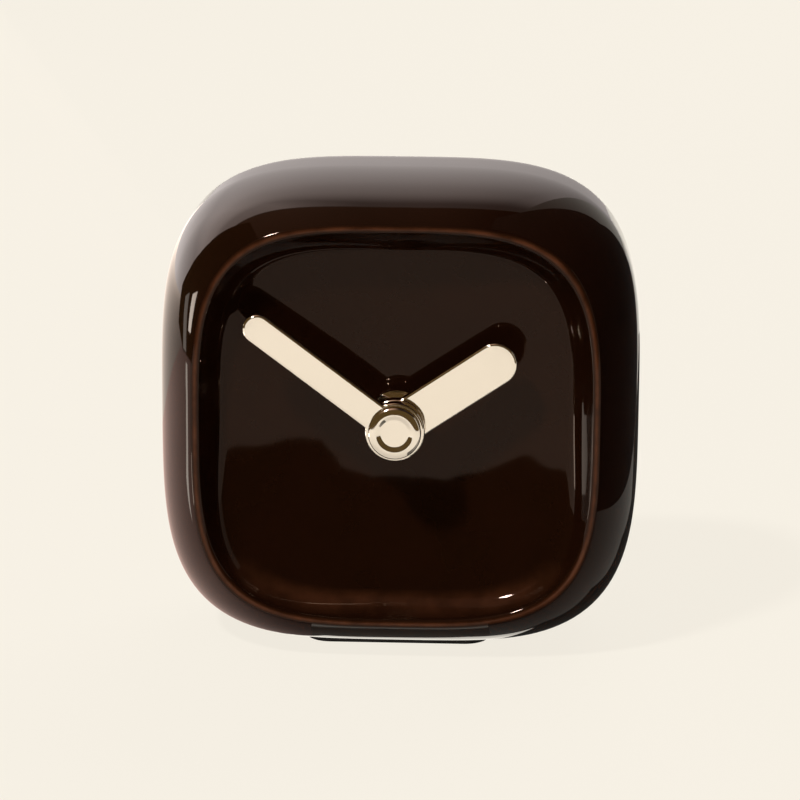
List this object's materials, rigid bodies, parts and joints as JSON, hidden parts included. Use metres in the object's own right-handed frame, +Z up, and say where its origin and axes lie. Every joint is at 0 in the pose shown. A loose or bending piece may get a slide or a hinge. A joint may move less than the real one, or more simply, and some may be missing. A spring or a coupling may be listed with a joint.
{
  "type": "cube desk clock",
  "caption": "Desk clock with a rounded square glazed ceramic shell, a dished unmarked dial, thick polished brass bar hands and a quartz movement in its open back",
  "frame": {"origin": "on the surface that the clock stands on, under the middle of the base pad", "axes": "+Z up, the dial faces -Y, +X is to the right as seen from the front"},
  "size_m": [0.1, 0.0623, 0.0998],
  "materials": {
    "glaze": "dark brown gloss glaze that thins to red-brown on the rim",
    "rubber": "matt black rubber",
    "brass": "polished pale brass",
    "steel": "plain bright steel",
    "soft_iron": "stamped soft iron",
    "magnet": "dark sintered magnet",
    "copper_wire": "enamelled copper wire",
    "housing_plastic": "black moulded plastic with a fine grain",
    "wheel_plastic": "natural white moulded plastic",
    "board": "brown paper laminate",
    "cell": "plain film sleeve in slate grey, bare steel ends"
  },
  "bodies": {
    "case": {"case_body": "glaze", "base_pad": "rubber", "gasket": "rubber", "threaded_bushing": "brass", "dial_washer": "brass", "fixing_nut": "brass", "movement_front_case": "housing_plastic", "movement_back_cover": "housing_plastic", "train_bridge": "housing_plastic", "stator_plate": "soft_iron", "coil_core": "soft_iron", "coil_bobbin": "wheel_plastic", "coil_winding": "copper_wire", "circuit_board": "board", "quartz_crystal": "steel", "timing_chip": "housing_plastic", "contact_positive": "steel", "contact_negative": "steel"},
    "minute": {"minute_arbor": "steel", "minute_hand_bush": "brass", "minute_hand": "brass", "hand_cap": "brass"},
    "hour": {"hour_wheel": "wheel_plastic", "hour_hand_bush": "brass", "hour_hand": "brass"},
    "setting": {"minute_work_wheel": "wheel_plastic", "setting_knob": "housing_plastic"},
    "center": {"center_wheel": "wheel_plastic"},
    "third": {"third_wheel": "wheel_plastic"},
    "fourth": {"fourth_wheel": "wheel_plastic"},
    "fifth": {"fifth_wheel": "wheel_plastic"},
    "rotor": {"rotor_pinion": "steel", "rotor_magnet": "magnet"},
    "cell": {"battery": "cell"}
  },
  "joints": [
    {"name": "minute_turn", "type": "hinge", "parent": "case", "child": "minute", "pos_m": [0, 0, 0.0494], "axis": [0, 1, 0], "continuous": true},
    {"name": "hour_turn", "type": "hinge", "parent": "case", "child": "hour", "pos_m": [0, 0, 0.0494], "axis": [0, 1, 0], "continuous": true},
    {"name": "setting_turn", "type": "hinge", "parent": "case", "child": "setting", "pos_m": [0, 0, 0.0606], "axis": [0, 1, 0], "continuous": true},
    {"name": "rotor_turn", "type": "hinge", "parent": "case", "child": "rotor", "pos_m": [-0.01397, 0, 0.06256], "axis": [0, 1, 0], "continuous": true},
    {"name": "fifth_turn", "type": "hinge", "parent": "case", "child": "fifth", "pos_m": [-0.00956, 0, 0.05492], "axis": [0, 1, 0], "continuous": true},
    {"name": "fourth_turn", "type": "hinge", "parent": "case", "child": "fourth", "pos_m": [0, 0, 0.0494], "axis": [0, 1, 0], "continuous": true},
    {"name": "third_turn", "type": "hinge", "parent": "case", "child": "third", "pos_m": [0.00935, 0, 0.0548], "axis": [0, 1, 0], "continuous": true},
    {"name": "center_turn", "type": "hinge", "parent": "case", "child": "center", "pos_m": [0, 0, 0.0494], "axis": [0, 1, 0], "continuous": true},
    {"name": "battery_slide", "type": "slide", "parent": "case", "child": "cell", "axis": [0, 1, 0], "range_m": [0, 0.05]}
  ],
  "couplings": [
    {"joint": "hour_turn", "follows": "minute_turn", "ratio": 0.083333},
    {"joint": "setting_turn", "follows": "minute_turn", "ratio": -0.33333},
    {"joint": "fifth_turn", "follows": "rotor_turn", "ratio": -0.16667},
    {"joint": "fourth_turn", "follows": "rotor_turn", "ratio": 0.033333},
    {"joint": "third_turn", "follows": "rotor_turn", "ratio": -0.0044444},
    {"joint": "center_turn", "follows": "rotor_turn", "ratio": 0.00055556}
  ]
}
